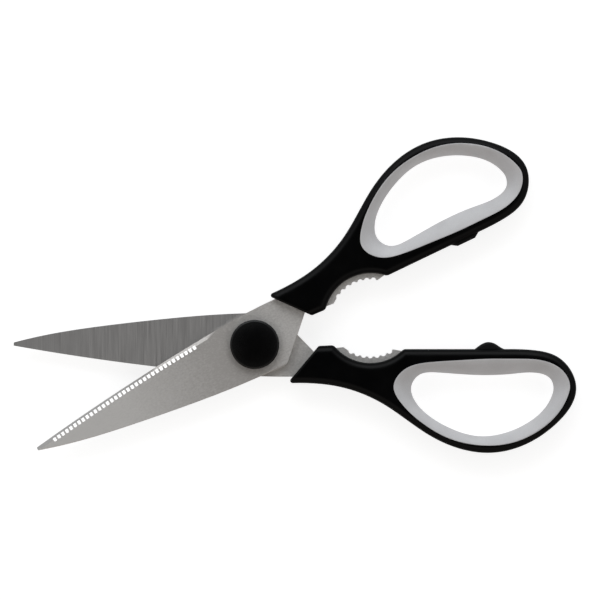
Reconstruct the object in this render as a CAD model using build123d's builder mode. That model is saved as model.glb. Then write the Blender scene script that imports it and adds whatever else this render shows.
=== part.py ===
from build123d import *
from math import asin, cos, degrees, hypot, radians, sin, sqrt
import os

# Poultry shears: two halves that are the same shape, one turned over, on one pivot screw.
#
# Frame: millimetres. The origin is on the pivot axis, on the flat surface that the shears lie on.
# +X runs from the blades to the handles, along the lower half; +Z is up, off the surface.
#
# Each half is drawn on its own plane, with the plane's z pointing out of the pair of blades, so the
# same outlines serve both. On that plane x runs to the handle, and y to the side of the cutting edge,
# which is also the outer side of the handle. The lower half's plane looks down, the upper half's up.

os.makedirs("parts", exist_ok=True)

# ---- driving dimensions --------------------------------------------------------------------------
REST_OPENING = 25.6        # degrees between the halves as they lie

HANDLE_THICK = 12.5        # both handles, from the surface to their top
HANDLE_ROUND = 3.2         # radius along the handle's edges
NOSE_ROUND = 1.0           # and round its end by the pivot
MIDDLE = HANDLE_THICK / 2  # height of the plane where the two blades meet

BLADE_THICK = 2.5
BLADE_GAP = 0.1            # between the two flat faces of the blades
TIP_X = -98.0
HEEL_X = -11.6             # where the ground edge begins, beside the pivot
EDGE_RADIUS = 990.0        # the cutting edge is a shallow arc
BEVEL_WIDTH = 1.4
BEVEL_FULL_X = -16.5       # from here to the tip the bevel has its full width
BEVEL_STATIONS = 5
BEVEL_OVERCUT = 0.3        # how far the cutter runs past the blade, as a fraction of the bevel
BEVEL_CLEAR = 4.0          # and how far it stands off the edge
EDGE_LAND = 0.15           # thickness left at the cutting edge

SPINE_BREAK = 0.2          # chamfer along the spine
KEY_DIA = 4.0              # holes in the tang that the plastic runs through
KEY_PLACES = [(24.5, 9.0), (35.5, 10.0)]
TANG_ROUND = 1.5           # radius of the tang's corner behind the pivot
TIP_ROUND = 0.4

POCKET_COUNT = 35          # ground pockets along the upper blade's edge, which grip the meat
POCKET_WIDE = 1.3          # along the edge
POCKET_LONG = 2.8          # of the floor, out past the bevel
POCKET_INSET = 2.4         # from the cutting edge to a pocket's inner end
POCKET_STEP = 0.1          # depth there
POCKET_TILT = 30.0         # degrees that the floor slopes down from there to the cutting edge
POCKET_ROUND = 0.35
POCKET_CLEAR = 2.0         # height of the cutter
POCKET_FIRST_X = -89.7
POCKET_LAST_X = -22.6

SHOULDER_DIA = 7.0         # the part of the screw that the blades turn on
RUNNING_PLAY = 0.05        # radial, in the blade that turns
SEAT_PLAY = 0.02           # radial, in the blade that doesn't
HEAD_DIA = 12.0
HEAD_THICK = 1.8
THREAD_DIA = 5.0
NUT_FLATS = 9.0
WASHER_DIA = 11.4
WASHER_THICK = 0.5
SPRING_RISE = 0.6          # height of the disc spring, squeezed
SPRING_SHEET = 0.35

CAP_DIA = 20.0
CAP_FLOOR = 1.4            # wall over the screw head or the nut
CAP_LIFT = 0.2             # clearance under the upper cap, where the blade turns
CAP_DOME = 1.4             # how much the upper cap crowns
CAP_ROUND = 1.0
CAP_POCKET = HEAD_DIA + 0.1
THREAD_END = 0.2           # the thread ends this far above the lower cap's floor
SHOULDER_STOP = 0.15       # and the shoulder this far inside the lower blade
SLOT_WIDE = 1.4            # screwdriver slot in the head
SLOT_DEEP = 0.8
HEAD_CHAMFER = 0.3

JAW_X = 47.0               # middle of the bottle and nut jaw between the handles
JAW_RADIUS = 19.0
JAW_DEPTH = 7.5            # how far the jaw is cut into each half
TOOTH_RADIUS = 17.6        # the arc that the small teeth stand on
TOOTH_TIP_DEPTH = 4.95
SCALLOP_COUNT = 7
SCALLOP_PITCH = 2.75
SCALLOP_RADIUS = 1.05
SCALLOP_DEPTH = 0.7

INNER_EDGE = 1.9           # the handle's inner edge stands this far outside the pivot line
NOSE_EDGE = 0.3           # and the nose's inner edge this far

INSERT_X = 89.5            # where the bumper and the pad start, along the handle's inner edge
BUMPER_SHAPE = [(0.0, 0.0), (2.1, 1.6), (5.2, 2.85), (8.6, 1.95), (10.6, 0.6), (12.2, 0.0)]
PAD_SHAPE = [(0.0, 0.0), (2.3, 1.5), (10.0, 1.5), (12.2, 0.0)]
INSERT_WIDE = 7.0          # bumper and pad, across the handle
STEM_X = 95.3              # middle of the root of each, moulded into the handle
STEM_LONG = 7.0
STEM_WIDE = 4.0
STEM_DEEP = 1.8
INSERT_ROUND = 0.8

# the liner's rounded inner face: how far in towards the opening, and how high, both as fractions
LINER_SHAPE = [(1.0, 0.0), (0.96, 0.14), (0.8, 0.4), (0.58, 0.66), (0.36, 0.85), (0.16, 0.96),
               (0.0, 1.02)]

# ---- the two half planes -------------------------------------------------------------------------
upper_x = (cos(radians(REST_OPENING)), sin(radians(REST_OPENING)), 0)
UPPER = Plane(origin=(0, 0, MIDDLE), x_dir=upper_x, z_dir=(0, 0, 1))
LOWER = Plane(origin=(0, 0, MIDDLE), x_dir=(1, 0, 0), z_dir=(0, 0, -1))

# ---- outlines, on a half plane -------------------------------------------------------------------
HEEL = (HEEL_X, 12.0)
TIP_EDGE = (TIP_X, 0.5)
TIP_SPINE = (TIP_X, -0.8)
TANG_EDGE = [HEEL, (2.0, 12.95), (16.0, 13.1)]
TANG_BACK = (31.4, 3.7)
TANG_CORNER = (8.7, -12.9)
SPINE_START = (-3.0, -12.7)
SPINE = [SPINE_START, (-20.0, -11.85), (-40.0, -10.05), (-60.0, -7.75), (-80.0, -4.8), TIP_SPINE]
FIRST_TOOTH = [(36.1, 1.1), (33.2, 1.4), TANG_BACK]   # the big teeth at the jaw's two ends
LAST_TOOTH = [(60.5, 6.5), (59.5, 2.6), (56.2, 2.0)]
TOOTH_START_X = 38.2       # the arc of small teeth runs from here
TOOTH_END_X = 55.0         # to here


def arc_through(start, end, radius):
    """Centre of the arc of this radius over start and end that bulges towards +y."""
    span = hypot(end[0] - start[0], end[1] - start[1])
    drop = sqrt(radius ** 2 - (span / 2) ** 2)
    normal = ((start[1] - end[1]) / span, (end[0] - start[0]) / span)
    return ((start[0] + end[0]) / 2 - drop * normal[0], (start[1] + end[1]) / 2 - drop * normal[1])


EDGE_CENTRE = arc_through(TIP_EDGE, HEEL, EDGE_RADIUS)


def edge_y(x):
    """Height of the cutting edge at x."""
    return EDGE_CENTRE[1] + sqrt(EDGE_RADIUS ** 2 - (x - EDGE_CENTRE[0]) ** 2)


def tooth_y(x):
    """Height of the arc that the jaw's small teeth stand on."""
    return TOOTH_TIP_DEPTH - TOOTH_RADIUS + sqrt(TOOTH_RADIUS ** 2 - (x - JAW_X) ** 2)


def jaw_x(y, side):
    """Where the jaw's edge crosses this height, on side -1 or +1."""
    return JAW_X + side * sqrt(JAW_RADIUS ** 2 - (y - JAW_DEPTH + JAW_RADIUS) ** 2)


NOSE_TIP = (13.2, 15.8)
NOSE_INNER = (26.0, NOSE_EDGE + 0.3)
JAW_START = (jaw_x(NOSE_EDGE, -1), NOSE_EDGE)
JAW_END = (jaw_x(INNER_EDGE, 1), INNER_EDGE)
LOOP_START = (102.0, INNER_EDGE)
JAW_CORNERS = [(JAW_START, 2.2), (JAW_END, 2.5)]   # each with its radius

# round the finger loop: the liner's outer line and the opening's line, point by point
LINER_LINE = [(127.8, 18.5), (123.7, 27.2), (114.5, 35.5), (102.9, 40.25), (91.0, 40.85), (78.6, 38.0),
              (67.4, 31.4), (59.4, 23.7), (56.4, 17.0), (60.3, 10.5), (70.5, 7.25), (83.0, 6.4),
              (95.0, 5.8), (106.0, 5.8), (117.3, 6.6), (125.6, 11.25)]
LOOP_LINE = [(121.2, 19.5), (117.5, 26.4), (110.5, 32.1), (101.0, 36.15), (91.0, 37.25), (80.5, 34.5),
             (71.5, 29.5), (65.4, 23.4), (63.6, 17.4), (66.7, 12.5), (74.0, 11.4), (84.5, 12.15),
             (95.0, 12.5), (105.0, 11.95), (114.5, 11.55), (120.2, 14.0)]


def blade_line():
    """The blade with its tang and the jaw's big teeth, as one closed line."""
    middle_x = (TIP_X + HEEL_X) / 2
    tooth_start = (TOOTH_START_X, tooth_y(TOOTH_START_X))
    tooth_end = (TOOTH_END_X, tooth_y(TOOTH_END_X))
    with BuildLine() as outline:
        ThreePointArc(TIP_EDGE, (middle_x, edge_y(middle_x)), HEEL)
        Spline(*TANG_EDGE)
        Polyline(TANG_EDGE[-1], (44.0, 13.1), (55.0, 10.2), *LAST_TOOTH, tooth_end)
        ThreePointArc(tooth_end, (JAW_X, TOOTH_TIP_DEPTH), tooth_start)
        Polyline(tooth_start, *FIRST_TOOTH, (24.8, 3.7), TANG_CORNER, SPINE_START)
        Spline(*SPINE)
        Line(TIP_SPINE, TIP_EDGE)
    return outline.line


def handle_line():
    """The plastic handle from its nose to the far end of the finger loop."""
    with BuildLine() as outline:
        Line(NOSE_TIP, NOSE_INNER)
        Line(NOSE_INNER, JAW_START)
        ThreePointArc(JAW_START, (JAW_X, JAW_DEPTH), JAW_END)
        Line(JAW_END, LOOP_START)
        Spline(LOOP_START, (113.0, 2.25), (123.75, 5.45), (130.6, 17.2), (121.85, 32.8), (94.8, 44.05),
               (71.95, 37.5), (52.2, 24.2), (35.0, 17.35), (24.0, 15.85), NOSE_TIP)
    return outline.line


def loop_line(towards_opening):
    """A ring line between the liner's outer line, at 0, and the opening's, at 1."""
    ring = []
    for outer, inner in zip(LINER_LINE, LOOP_LINE):
        ring.append((outer[0] + towards_opening * (inner[0] - outer[0]),
                     outer[1] + towards_opening * (inner[1] - outer[1])))
    with BuildLine() as outline:
        Spline(*ring, periodic=True)
    return outline.line


# ---- blades ----------------------------------------------------------------------------------------
def bevel_cutter(half):
    """The wedge that the grinding takes off along the cutting edge, fading out at the heel."""
    rise = BLADE_THICK - EDGE_LAND
    far_x = TIP_X - BEVEL_WIDTH
    stations = [(far_x + i * (BEVEL_FULL_X - far_x) / (BEVEL_STATIONS - 1), BEVEL_WIDTH)
                for i in range(BEVEL_STATIONS)]
    with BuildPart() as cutter:
        for x, width in stations + [(HEEL_X, 0.0)]:
            edge_point = half.from_local_coords((x, edge_y(x), BLADE_GAP / 2 + EDGE_LAND))
            top = (1 + BEVEL_OVERCUT) * rise
            with BuildSketch(Plane(origin=edge_point, x_dir=half.y_dir, z_dir=half.x_dir)):
                with BuildLine():
                    Polyline((-(1 + BEVEL_OVERCUT) * width, top),
                             (BEVEL_OVERCUT * width, -BEVEL_OVERCUT * rise),
                             (BEVEL_CLEAR, -BEVEL_OVERCUT * rise), (BEVEL_CLEAR, top), close=True)
                make_face()
        loft(ruled=True)
    return cutter.part


def degrees_along(length, radius):
    """Angle that a length takes up on an arc."""
    return degrees(length / radius)


def pocket_floor(half, x):
    """Plane of the pocket's floor at this x: its origin at the inner end, its y out to the edge."""
    start = Pos(x, edge_y(x) - POCKET_INSET, BLADE_GAP / 2 + BLADE_THICK - POCKET_STEP)
    slant = degrees(asin((EDGE_CENTRE[0] - x) / EDGE_RADIUS))
    return Plane(half.location * start * Rot(0, 0, slant) * Rot(-POCKET_TILT, 0, 0))


def make_blade(half, bore_play, pocket_count):
    """One blade: bore, ground edge, jaw teeth, keying holes in the tang, and its ground pockets."""
    outward = Axis((0, 0, 0), half.z_dir)
    pitch = (POCKET_LAST_X - POCKET_FIRST_X) / (POCKET_COUNT - 1)
    floors = [pocket_floor(half, POCKET_FIRST_X + i * pitch) for i in range(pocket_count)]
    cutter = bevel_cutter(half)
    tooth_arc = degrees_along(SCALLOP_PITCH * (SCALLOP_COUNT - 1), TOOTH_RADIUS)
    with BuildPart() as steel:
        with BuildSketch(half.offset(BLADE_GAP / 2)):
            add(blade_line())
            make_face()
            fillet(vertices().sort_by_distance(TANG_CORNER)[0], TANG_ROUND)
            fillet(vertices().sort_by_distance(TIP_SPINE)[0], TIP_ROUND)
            with Locations((JAW_X, TOOTH_TIP_DEPTH - TOOTH_RADIUS)):
                with PolarLocations(TOOTH_RADIUS + SCALLOP_DEPTH - SCALLOP_RADIUS, SCALLOP_COUNT,
                                    start_angle=90 - tooth_arc / 2, angular_range=tooth_arc,
                                    endpoint=True):
                    Circle(SCALLOP_RADIUS, mode=Mode.SUBTRACT)
            Circle(SHOULDER_DIA / 2 + bore_play, mode=Mode.SUBTRACT)
            with Locations(*KEY_PLACES):
                Circle(KEY_DIA / 2, mode=Mode.SUBTRACT)
        extrude(amount=BLADE_THICK)
        outer_face = faces().sort_by(outward)[-1]
        spine = [e for e in outer_face.edges() if half.to_local_coords(e.center()).Y < -2
                 and e.geom_type != GeomType.CIRCLE]
        chamfer(spine, SPINE_BREAK)
        add(cutter, mode=Mode.SUBTRACT)
        if floors:
            with BuildSketch(*floors):
                Rectangle(POCKET_WIDE, POCKET_LONG, align=(Align.CENTER, Align.MIN))
                fillet(vertices(), POCKET_ROUND)
            extrude(amount=POCKET_CLEAR, dir=half.z_dir, mode=Mode.SUBTRACT)
    return steel.part


# ---- handles ---------------------------------------------------------------------------------------
def handle_block(half):
    """The handle's outer shape with its rounded edges, with no opening in it."""
    nose_middle = half.from_local_coords(
        ((NOSE_TIP[0] + NOSE_INNER[0]) / 2, (NOSE_TIP[1] + NOSE_INNER[1]) / 2, 0))
    with BuildPart() as block:
        with BuildSketch(half.offset(-HANDLE_THICK / 2)):
            add(handle_line())
            make_face()
            for corner, radius in JAW_CORNERS:
                fillet(vertices().sort_by_distance(corner)[0], radius)
        extrude(amount=HANDLE_THICK)
        nose_end = faces().sort_by_distance(nose_middle)[0]
        flats = faces().sort_by(Axis.Z)
        rims = flats[0].edges() + flats[-1].edges()
        fillet([rim for rim in rims if rim not in nose_end.edges()], HANDLE_ROUND)
        fillet(faces().sort_by_distance(nose_middle)[0].edges(), NOSE_ROUND)
    return block.part


def loop_void(half):
    """The finger opening: narrowest half way through, and rounded out to both faces."""
    with BuildPart() as void:
        for towards_opening, height in LINER_SHAPE:
            with BuildSketch(half.offset(height * HANDLE_THICK / 2)):
                add(loop_line(towards_opening))
                make_face()
        loft()
        mirror(about=half)
    return void.part


def insert_points(shape):
    """Points of an insert's profile on the half plane, from its lengths and rises."""
    return [(INSERT_X + along, INNER_EDGE - rise) for along, rise in shape]


def bumper_line():
    """The bumper's bell-shaped profile."""
    points = insert_points(BUMPER_SHAPE)
    with BuildLine() as profile:
        Spline(*points)
        Line(points[-1], points[0])
    return profile.line


def pad_line():
    """The striker pad's profile: a flat top between two ramps."""
    with BuildLine() as profile:
        Polyline(*insert_points(PAD_SHAPE), close=True)
    return profile.line


def make_insert(half, profile):
    """A rubber block on the handle's inner edge, with a stem that sits in the handle."""
    with BuildPart() as insert:
        with BuildSketch(half.offset(-INSERT_WIDE / 2)):
            add(profile)
            make_face()
        extrude(amount=INSERT_WIDE)
        sides = faces().sort_by(Axis.Z)
        crown = [e for e in sides[0].edges() + sides[-1].edges()
                 if half.to_local_coords(e.center()).Y < INNER_EDGE - 0.01]
        fillet(crown, INSERT_ROUND)
        with BuildSketch(half.offset(-STEM_WIDE / 2)):
            with Locations((STEM_X, INNER_EDGE + STEM_DEEP / 2)):
                Rectangle(STEM_LONG, STEM_DEEP)
        extrude(amount=STEM_WIDE)
    return insert.part


def make_handle(block, half, steel, insert):
    """The black handle: open for the liner, and moulded round the tang and the rubber's stem."""
    with BuildPart() as handle:
        add(block)
        with BuildSketch(half.offset(-HANDLE_THICK)):
            add(loop_line(0))
            make_face()
        extrude(amount=2 * HANDLE_THICK, mode=Mode.SUBTRACT)
        add(steel, mode=Mode.SUBTRACT)
        add(insert, mode=Mode.SUBTRACT)
    return handle.part


def make_liner(block, half):
    """The light grey ring inside the finger loop."""
    void = loop_void(half)
    with BuildPart() as liner:
        with BuildSketch(half.offset(-HANDLE_THICK / 2)):
            add(loop_line(0))
            make_face()
        extrude(amount=HANDLE_THICK)
        add(block, mode=Mode.INTERSECT)
        add(void, mode=Mode.SUBTRACT)
    return liner.part


# ---- heights along the pivot -----------------------------------------------------------------------
upper_face = MIDDLE + BLADE_GAP / 2 + BLADE_THICK
lower_face = MIDDLE - BLADE_GAP / 2 - BLADE_THICK
washer_base = upper_face + RUNNING_PLAY
spring_base = washer_base + WASHER_THICK
head_base = spring_base + SPRING_RISE
head_top = head_base + HEAD_THICK
cap_base = upper_face + CAP_LIFT
cap_top = head_top + CAP_FLOOR

halves = {}
for name, half, play, pockets, line in (("upper", UPPER, RUNNING_PLAY, POCKET_COUNT, pad_line()),
                                        ("lower", LOWER, SEAT_PLAY, 0, bumper_line())):
    steel = make_blade(half, play, pockets)
    insert = make_insert(half, line)
    block = handle_block(half)
    handle = make_handle(block, half, steel, insert)
    liner = make_liner(block, half)
    halves[name] = (steel, insert, handle, liner)

# ---- pivot -----------------------------------------------------------------------------------------
with BuildPart() as pivot_screw:
    with BuildSketch(Plane.XZ):
        with BuildLine():
            Polyline((0, CAP_FLOOR + THREAD_END), (THREAD_DIA / 2, CAP_FLOOR + THREAD_END),
                     (THREAD_DIA / 2, lower_face + SHOULDER_STOP),
                     (SHOULDER_DIA / 2, lower_face + SHOULDER_STOP), (SHOULDER_DIA / 2, head_base),
                     (HEAD_DIA / 2, head_base), (HEAD_DIA / 2, head_top), (0, head_top), close=True)
        make_face()
    revolve(axis=Axis.Z)
    with Locations((0, 0, head_top)):
        Box(HEAD_DIA, SLOT_WIDE, 2 * SLOT_DEEP, mode=Mode.SUBTRACT)
    rim = faces().sort_by(Axis.Z)[-2:].edges().filter_by(GeomType.CIRCLE)
    chamfer(rim, HEAD_CHAMFER)

with BuildPart() as pivot_nut:
    with BuildSketch(Plane.XY.offset(CAP_FLOOR)):
        RegularPolygon(NUT_FLATS / 2, 6, major_radius=False)
        Circle(THREAD_DIA / 2 + SEAT_PLAY, mode=Mode.SUBTRACT)
    extrude(amount=lower_face - CAP_FLOOR)

with BuildPart() as thrust_washer:
    with BuildSketch(Plane.XY.offset(washer_base)):
        Circle(WASHER_DIA / 2)
        Circle(SHOULDER_DIA / 2 + RUNNING_PLAY, mode=Mode.SUBTRACT)
    extrude(amount=WASHER_THICK)

with BuildPart() as disc_spring:
    with BuildSketch(Plane.XZ):
        with BuildLine():
            Polyline((SHOULDER_DIA / 2 + RUNNING_PLAY, spring_base),
                     (WASHER_DIA / 2, spring_base + SPRING_RISE - SPRING_SHEET),
                     (WASHER_DIA / 2, spring_base + SPRING_RISE),
                     (SHOULDER_DIA / 2 + RUNNING_PLAY, spring_base + SPRING_SHEET), close=True)
        make_face()
    revolve(axis=Axis.Z)

with BuildPart() as upper_cap:
    with BuildSketch(Plane.XZ):
        with BuildLine():
            TangentArc((0, cap_top), (CAP_DIA / 2, cap_top - CAP_DOME), tangent=(1, 0))
            Polyline((CAP_DIA / 2, cap_top - CAP_DOME), (CAP_DIA / 2, cap_base),
                     (CAP_POCKET / 2, cap_base), (CAP_POCKET / 2, head_top), (0, head_top), (0, cap_top))
        make_face()
        fillet(vertices().sort_by_distance((CAP_DIA / 2, cap_top - CAP_DOME))[0], CAP_ROUND)
    revolve(axis=Axis.Z)

with BuildPart() as lower_cap:
    with BuildSketch():
        Circle(CAP_DIA / 2)
    extrude(amount=lower_face)
    fillet(faces().sort_by(Axis.Z)[0].edges(), CAP_ROUND)
    with BuildSketch(Plane.XY.offset(CAP_FLOOR)):
        RegularPolygon(NUT_FLATS / 2 + RUNNING_PLAY, 6, major_radius=False)
    extrude(amount=lower_face, mode=Mode.SUBTRACT)

# ---- hand over -------------------------------------------------------------------------------------
pieces = {
    "blade_upper": halves["upper"][0],
    "blade_lower": halves["lower"][0],
    "striker_pad": halves["upper"][1],
    "bumper": halves["lower"][1],
    "handle_upper": halves["upper"][2],
    "handle_lower": halves["lower"][2],
    "liner_upper": halves["upper"][3],
    "liner_lower": halves["lower"][3],
    "pivot_screw": pivot_screw.part,
    "pivot_nut": pivot_nut.part,
    "thrust_washer": thrust_washer.part,
    "disc_spring": disc_spring.part,
    "pivot_cap_upper": upper_cap.part,
    "pivot_cap_lower": lower_cap.part,
}
for name, piece in pieces.items():
    piece.label = name
    export_step(piece, f"parts/{name}.step")
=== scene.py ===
import math

import bpy
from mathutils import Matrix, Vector

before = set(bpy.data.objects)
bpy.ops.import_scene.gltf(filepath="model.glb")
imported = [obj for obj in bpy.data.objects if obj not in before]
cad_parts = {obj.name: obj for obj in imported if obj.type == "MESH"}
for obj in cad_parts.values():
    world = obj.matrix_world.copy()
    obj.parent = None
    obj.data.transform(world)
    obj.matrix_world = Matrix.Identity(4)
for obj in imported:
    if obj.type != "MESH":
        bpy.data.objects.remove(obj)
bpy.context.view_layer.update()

# Poultry shears, in metres. The origin is on the pivot axis, on the surface that the shears lie on;
# +X runs from the blades to the handles and +Z up. Materials work in millimetres.

MM = 0.001
REST_OPENING = 25.6        # degrees that the upper half is turned from the lower

# the cutting edge of a half, in mm on the half's own x and y
EDGE_CENTRE = (75.692, -974.144)
EDGE_RADIUS = 990.0
POCKET_BAND = (0.6, 2.45)      # the ground pockets lie this far inside it
POCKET_ENDS = (-91.0, -21.0)   # between these two x
GROUND_END_X = (2.0, 9.0)      # a mating face's cross-ground finish fades out here, into the tang

# how far a surface of the steel faces up or down, as the z of its normal
FACE_ABOVE = 0.9               # the flat faces
POCKET_FLOOR = (0.8, 0.95)
POCKET_WALL = (-0.1, 0.3)
BEVEL = (0.04, 0.65)           # the ground edge, of either sign: steeper where it is narrower

# the satin's shade of grey along a half, as spans of x and of tone: it is palest at the point.
# Paler towards the point and darker towards the pivot is a painted reflection; it grows paler again
# along the tang.
SHEEN_AT_POINT = (-95.0, -58.0, 0.25, 0.0)
SHEEN_ALONG_BLADE = (-58.0, -18.0, 0.92, 0.05)
SATIN_TANG = (-8.0, 14.0, 0.0, 0.65)
MOTTLE_STRENGTH = (-60.0, -10.0, 0.25, 0.8)

# colours from darker to paler
SATIN = (0.56, 0.54, 0.52, 1), (0.80, 0.785, 0.765, 1)
# the mating face's colours: darker than the satin partly for its cross-ground finish and partly as
# painted shade for its dimmer reflection
GROUND_AND_SHADE = (0.46, 0.45, 0.445, 1), (0.60, 0.59, 0.58, 1)
BLACK = (0.0003, 0.0003, 0.0004, 1), (0.0008, 0.0008, 0.0009, 1)
GRIP = (0.485, 0.481, 0.489, 1), (0.565, 0.562, 0.570, 1)
NYLON = (0.72, 0.70, 0.64, 1), (0.80, 0.78, 0.72, 1)

RING_RATE = 25.0               # of a cutter's rings, in radians per mm: four rings to the mm

NOISE = (0.3, 0.7)             # nearly all of a noise's values lie in here
NOISE_SUM = (0.7, 1.3)         # and those of two noises added, in here

FLOOR_HALF = 16.0


def grey(v, warm=0.0):
    """A grey of this linear value, warmed by a fraction."""
    return (v * (1 + warm), v, v * (1 - warm), 1)


# ---- camera ------------------------------------------------------------------------------------
def add_camera():
    """A long lens straight over the shears, with the picture's top towards +Y."""
    lens, sensor, seen = 500.0, 36.0, 243.9 * MM    # seen: the width of the view at the target
    target = Vector((18.4, 18.06, 6.25)) * MM
    data = bpy.data.cameras.new("camera")
    data.lens = lens
    data.sensor_width = sensor
    data.clip_start = 0.05
    camera = bpy.data.objects.new("camera", data)
    camera.location = target + Vector((0, 0, seen * lens / sensor))
    bpy.context.scene.collection.objects.link(camera)
    bpy.context.scene.camera = camera


# ---- light -------------------------------------------------------------------------------------
def add_softbox(name, place, size, power, colour, aim=(0.02, 0.0, 0.0)):
    """A soft box at place, facing the shears."""
    data = bpy.data.lights.new(name, "AREA")
    data.shape = "RECTANGLE"
    data.size, data.size_y = size
    data.energy = power
    data.color = colour
    light = bpy.data.objects.new(name, data)
    light.location = place
    light.rotation_euler = (Vector(aim) - Vector(place)).to_track_quat("-Z", "Y").to_euler()
    light.visible_camera = False
    bpy.context.scene.collection.objects.link(light)


def set_stops(ramp, stops):
    """Gives a colour ramp these (position, colour) stops."""
    elements = ramp.color_ramp.elements
    while len(elements) > len(stops):
        elements.remove(elements[-1])
    while len(elements) < len(stops):
        elements.new(1.0)
    for element, (at, colour) in zip(elements, stops):
        element.position = at
        element.color = colour


def add_world():
    """A pale studio: dark overhead, cool and bright on the +Y side, warm and dim on the other."""
    world = bpy.data.worlds.new("studio")
    world.use_nodes = True
    bpy.context.scene.world = world
    nodes, links = world.node_tree.nodes, world.node_tree.links
    back = nodes["Background"]
    split = nodes.new("ShaderNodeSeparateXYZ")
    links.new(nodes.new("ShaderNodeTexCoord").outputs["Generated"], split.inputs[0])

    side = nodes.new("ShaderNodeMapRange")
    side.inputs["From Min"].default_value = -1.0
    links.new(split.outputs["Y"], side.inputs["Value"])
    walls = nodes.new("ShaderNodeValToRGB")
    links.new(side.outputs[0], walls.inputs[0])
    set_stops(walls, [(0.0, (0.60, 0.555, 0.52, 1)), (0.45, (0.60, 0.59, 0.575, 1)),
                      (0.75, (0.78, 0.80, 0.82, 1)), (1.0, (0.93, 0.97, 1.0, 1))])

    height = nodes.new("ShaderNodeMapRange")
    height.inputs["From Min"].default_value = -1.0
    links.new(split.outputs["Z"], height.inputs["Value"])
    ceiling = nodes.new("ShaderNodeValToRGB")
    ceiling.color_ramp.interpolation = "EASE"
    links.new(height.outputs[0], ceiling.inputs[0])
    set_stops(ceiling, [(0.0, grey(0.2)), (0.5, grey(0.4)), (0.66, grey(0.65)),
                        (0.77, grey(1.0)), (0.83, grey(1.0)), (0.96, grey(0.06))])

    both = nodes.new("ShaderNodeMix")
    both.data_type = "RGBA"
    both.blend_type = "MULTIPLY"
    both.inputs[0].default_value = 1.0
    links.new(walls.outputs[0], both.inputs[6])
    links.new(ceiling.outputs[0], both.inputs[7])
    links.new(both.outputs[2], back.inputs["Color"])
    back.inputs["Strength"].default_value = 1.5


# ---- material helpers --------------------------------------------------------------------------
class Material:
    """A node material with one Principled shader, and short ways to add what feeds it."""

    def __init__(self, name, turn=0.0):
        self.made = bpy.data.materials.new(name)
        self.made.use_nodes = True
        self.nodes = self.made.node_tree.nodes
        self.links = self.made.node_tree.links
        self.shader = self.nodes["Principled BSDF"]
        coord = self.nodes.new("ShaderNodeTexCoord")
        self.facing = coord.outputs["Normal"]
        self.mm = self.scaled((1000, 1000, 1000), coord.outputs["Object"])
        if turn:
            turned = self.add("Mapping", self.mm, vector_type="POINT")
            turned.inputs["Rotation"].default_value = (0, 0, math.radians(turn))
            self.mm = turned.outputs[0]

    def set(self, **values):
        for name, value in values.items():
            self.feed(self.shader.inputs[name.replace("_", " ")], value)

    def add(self, kind, *inputs, **settings):
        node = self.nodes.new("ShaderNode" + kind)
        for name, value in settings.items():
            setattr(node, name, value)
        for slot, value in enumerate(inputs):
            self.feed(node.inputs[slot], value)
        return node

    def feed(self, socket, value):
        if isinstance(value, bpy.types.NodeSocket):
            self.links.new(value, socket)
        else:
            socket.default_value = value

    def math(self, operation, *inputs, clamp=False):
        return self.add("Math", *inputs, operation=operation, use_clamp=clamp).outputs[0]

    def length(self, x, y):
        """The length of the vector (x, y)."""
        squares = self.math("ADD", self.math("POWER", x, 2.0), self.math("POWER", y, 2.0))
        return self.math("SQRT", squares)

    def scaled(self, scale, source=None):
        """Coordinates, by default the millimetres, scaled per axis."""
        node = self.add("Mapping", source or self.mm, vector_type="POINT")
        node.inputs["Scale"].default_value = scale
        return node.outputs[0]

    def split(self, vector):
        return self.add("SeparateXYZ", vector).outputs

    def noise(self, per_mm, detail=3.0, rough=0.55):
        """Noise of 0 to 1 with per_mm features along each axis, as three numbers or one."""
        if not isinstance(per_mm, tuple):
            per_mm = (per_mm, per_mm, per_mm)
        node = self.add("TexNoise")
        self.feed(node.inputs["Vector"], self.scaled(per_mm))
        node.inputs["Scale"].default_value = 1.0
        node.inputs["Detail"].default_value = detail
        node.inputs["Roughness"].default_value = rough
        return node.outputs[0]

    def span(self, value, low, high, to_low=0.0, to_high=1.0):
        """value mapped from low..high to to_low..to_high, and held there outside."""
        return self.add("MapRange", value, low, high, to_low, to_high).outputs[0]

    def between(self, value, low, high):
        """1 where value is between low and high."""
        return self.math("MULTIPLY", self.math("GREATER_THAN", value, low),
                         self.math("LESS_THAN", value, high))

    def mix(self, factor, a, b):
        """Colour a where factor is 0, b where it is 1."""
        node = self.add("Mix", data_type="RGBA")
        self.feed(node.inputs[0], factor)
        self.feed(node.inputs[6], a)
        self.feed(node.inputs[7], b)
        return node.outputs[2]

    def blend(self, factor, a, b):
        """The same for two numbers."""
        node = self.add("Mix", data_type="FLOAT")
        self.feed(node.inputs[0], factor)
        self.feed(node.inputs[2], a)
        self.feed(node.inputs[3], b)
        return node.outputs[0]

    def bump(self, height, depth_mm):
        """Relief of this depth, from a height of 0 to 1."""
        node = self.add("Bump")
        node.inputs["Distance"].default_value = depth_mm * MM
        self.feed(node.inputs["Height"], height)
        self.feed(self.shader.inputs["Normal"], node.outputs[0])


# ---- steel -------------------------------------------------------------------------------------
def pocket_mask(m, facing_z):
    """1 on the floors and walls of the ground pockets along the upper blade's edge."""
    x, y, _ = m.split(m.mm)
    from_centre = m.length(m.math("SUBTRACT", x, EDGE_CENTRE[0]),
                           m.math("SUBTRACT", y, EDGE_CENTRE[1]))
    inset = m.math("SUBTRACT", EDGE_RADIUS, from_centre)
    place = m.math("MULTIPLY", m.between(inset, *POCKET_BAND), m.between(x, *POCKET_ENDS))
    slope = m.math("ADD", m.between(facing_z, *POCKET_FLOOR),
                   m.between(facing_z, *POCKET_WALL), clamp=True)
    return m.math("MULTIPLY", place, slope)


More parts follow.
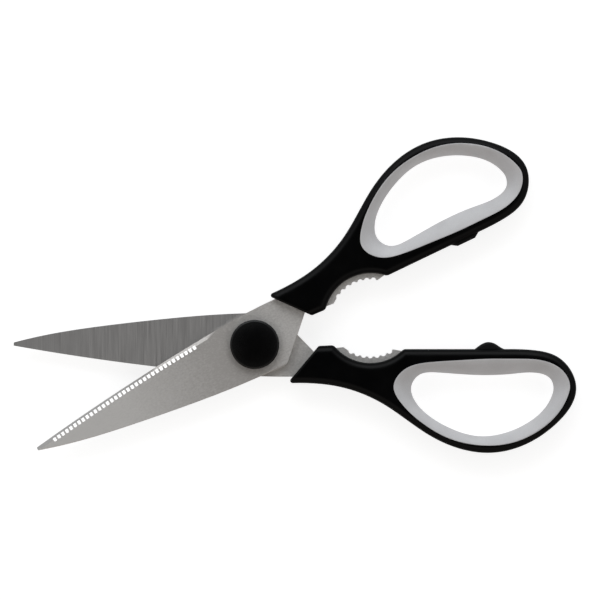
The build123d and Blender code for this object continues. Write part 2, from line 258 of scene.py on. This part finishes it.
def blade_steel(name, turn, mating_side, pocketed):
    """Stainless: satin outside with a painted reflection that pales it towards the point,
    cross-ground on the mating face and coloured darker there partly as painted shade, brighter on
    the ground edge, and with pale painted highlights in the pockets.

    mating_side is the sign of the mating face's normal on z.
    """
    m = Material(name, turn)
    x = m.split(m.mm)[0]
    facing_z = m.split(m.facing)[2]

    grain = m.noise((1.0, 1.5, 1.5), detail=4.0, rough=0.75)
    mottle = m.math("MULTIPLY", m.span(grain, *NOISE, -0.5, 0.5), m.span(x, *MOTTLE_STRENGTH))
    # painted reflection: paler towards the point and darker near the pivot, then paler again along
    # the tang, added to the random mottle
    sheen_and_tang_tone = m.math("ADD", m.span(x, *SHEEN_ALONG_BLADE), m.span(x, *SATIN_TANG))
    mottle_and_sheen_tone = m.math("ADD", m.math("ADD", mottle, sheen_and_tang_tone), m.span(x, *SHEEN_AT_POINT))
    satin = m.mix(mottle_and_sheen_tone, *SATIN)
    satin_rough = m.span(grain, *NOISE, 0.53, 0.59)

    lines = m.noise((4.0, 0.06, 1.0), detail=3.0, rough=0.6)
    wide_lines = m.noise((0.7, 0.02, 1.0), detail=1.0)
    streaks = m.math("ADD", m.math("MULTIPLY", lines, 0.7), m.math("MULTIPLY", wide_lines, 0.3))
    # partly painted shade: the cross-ground face is coloured darker than the satin, standing in for
    # its dimmer reflection as well as its finish
    ground = m.mix(m.span(streaks, *NOISE), *GROUND_AND_SHADE)
    ground_rough = m.span(lines, *NOISE, 0.42, 0.50)

    towards_mate = m.math("MULTIPLY", facing_z, mating_side)
    mating = m.math("MULTIPLY", m.math("GREATER_THAN", towards_mate, FACE_ABOVE),
                    m.span(x, *GROUND_END_X, 1.0, 0.0))
    colour = m.mix(mating, satin, ground)
    roughness = m.blend(mating, satin_rough, ground_rough)

    bevel = m.between(m.math("ABSOLUTE", facing_z), *BEVEL)
    bevel_lines = m.noise((5.0, 0.4, 0.4), detail=2.0)
    colour = m.mix(bevel, colour, m.mix(bevel_lines, grey(0.58, 0.04), grey(0.76, 0.03)))
    roughness = m.blend(bevel, roughness, 0.42)

    if pocketed:
        pocket = pocket_mask(m, facing_z)
        # painted highlight: the pockets' floors and walls are coloured pale and made partly
        # non-metallic so they stay bright, in place of the reflections of the polished hollows
        colour = m.mix(pocket, colour, grey(0.78, 0.02))
        roughness = m.blend(pocket, roughness, 0.42)
        m.set(Metallic=m.blend(pocket, 1.0, 0.8))
    else:
        m.set(Metallic=1.0)
    m.set(Base_Color=colour, Roughness=roughness)
    m.bump(m.blend(mating, grain, lines), 0.008)
    return m.made


def turned_steel(name, colour):
    """Turned steel, with the cutter's rings round the pivot axis."""
    m = Material(name)
    x, y, _ = m.split(m.mm)
    turns = m.math("MULTIPLY", m.length(x, y), RING_RATE)
    rings = m.math("MULTIPLY_ADD", m.math("SINE", turns), 0.5, 0.5)
    grain = m.noise(2.0)
    m.set(Base_Color=m.mix(grain, grey(colour * 0.85), grey(colour)), Metallic=1.0,
          Roughness=m.span(grain, *NOISE, 0.25, 0.4))
    m.bump(rings, 0.004)
    return m.made


# ---- plastic -----------------------------------------------------------------------------------
def black_plastic(name, roughness, specular, grain_mm, relief_mm):
    """Moulded black plastic with a fine spark-eroded grain and slightly uneven gloss."""
    m = Material(name)
    grain = m.noise(1 / grain_mm, detail=2.0, rough=0.6)
    cloud = m.noise(0.12, detail=2.0)
    uneven = m.math("ADD", grain, cloud)
    m.set(Base_Color=m.mix(cloud, *BLACK),
          Roughness=m.span(uneven, *NOISE_SUM, roughness - 0.05, roughness + 0.06),
          Specular_IOR_Level=specular)
    m.bump(grain, relief_mm)
    return m.made


def soft_grip(name):
    """Light grey rubbery liner, matt, faintly clouded as soft mouldings are."""
    m = Material(name)
    grain = m.noise(2.6, detail=3.0, rough=0.6)
    cloud = m.noise(0.09, detail=2.0)
    m.set(Base_Color=m.mix(m.span(m.math("ADD", grain, cloud), *NOISE_SUM), *GRIP),
          Roughness=m.span(cloud, *NOISE, 0.5, 0.62), Specular_IOR_Level=0.35)
    m.bump(grain, 0.012)
    return m.made


def nylon(name):
    """Milky nylon washer."""
    m = Material(name)
    grain = m.noise(1.5)
    m.set(Base_Color=m.mix(grain, *NYLON), Roughness=m.span(grain, *NOISE, 0.35, 0.5),
          Subsurface_Weight=0.2)
    m.bump(grain, 0.01)
    return m.made


# ---- dress -------------------------------------------------------------------------------------
def dress(material, *nodes):
    """Gives CAD nodes one material."""
    for node in nodes:
        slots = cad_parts[node].data.materials
        slots.clear()
        slots.append(material)


def dress_all():
    dress(blade_steel("steel_upper", -REST_OPENING, -1.0, pocketed=True), "blade_upper")
    dress(blade_steel("steel_lower", 0.0, 1.0, pocketed=False), "blade_lower")
    dress(turned_steel("steel_screw", 0.62), "pivot_screw")
    dress(turned_steel("steel_nut", 0.5), "pivot_nut")
    dress(turned_steel("steel_spring", 0.42), "disc_spring")
    dress(nylon("nylon_milky"), "thrust_washer")
    dress(black_plastic("plastic_handle", 0.34, 0.09, 0.30, 0.012), "handle_upper", "handle_lower")
    dress(black_plastic("plastic_cap", 0.25, 0.25, 0.22, 0.006),
          "pivot_cap_upper", "pivot_cap_lower")
    dress(black_plastic("rubber_black", 0.55, 0.20, 0.18, 0.02), "bumper", "striker_pad")
    dress(soft_grip("grip_grey"), "liner_upper", "liner_lower")


# ---- floor -------------------------------------------------------------------------------------
def add_floor():
    """A white table that glows a little, as one lit from underneath does, so shadows stay faint."""
    mesh = bpy.data.meshes.new("floor")
    h = FLOOR_HALF
    mesh.from_pydata([(-h, -h, 0), (h, -h, 0), (h, h, 0), (-h, h, 0)], [], [(0, 1, 2, 3)])
    floor = bpy.data.objects.new("floor", mesh)
    bpy.context.scene.collection.objects.link(floor)
    m = Material("floor_white")
    m.set(Base_Color=grey(0.4), Roughness=1.0, Specular_IOR_Level=0.0,
          Emission_Color=grey(1.0), Emission_Strength=0.8)
    mesh.materials.append(m.made)
    floor.visible_glossy = False


add_camera()
add_world()
add_softbox("key", (-0.25, 1.35, 0.75), (2.0, 1.3), 10.5, (0.96, 0.98, 1.0))
dress_all()
add_floor()
bpy.context.scene.view_settings.view_transform = "Standard"
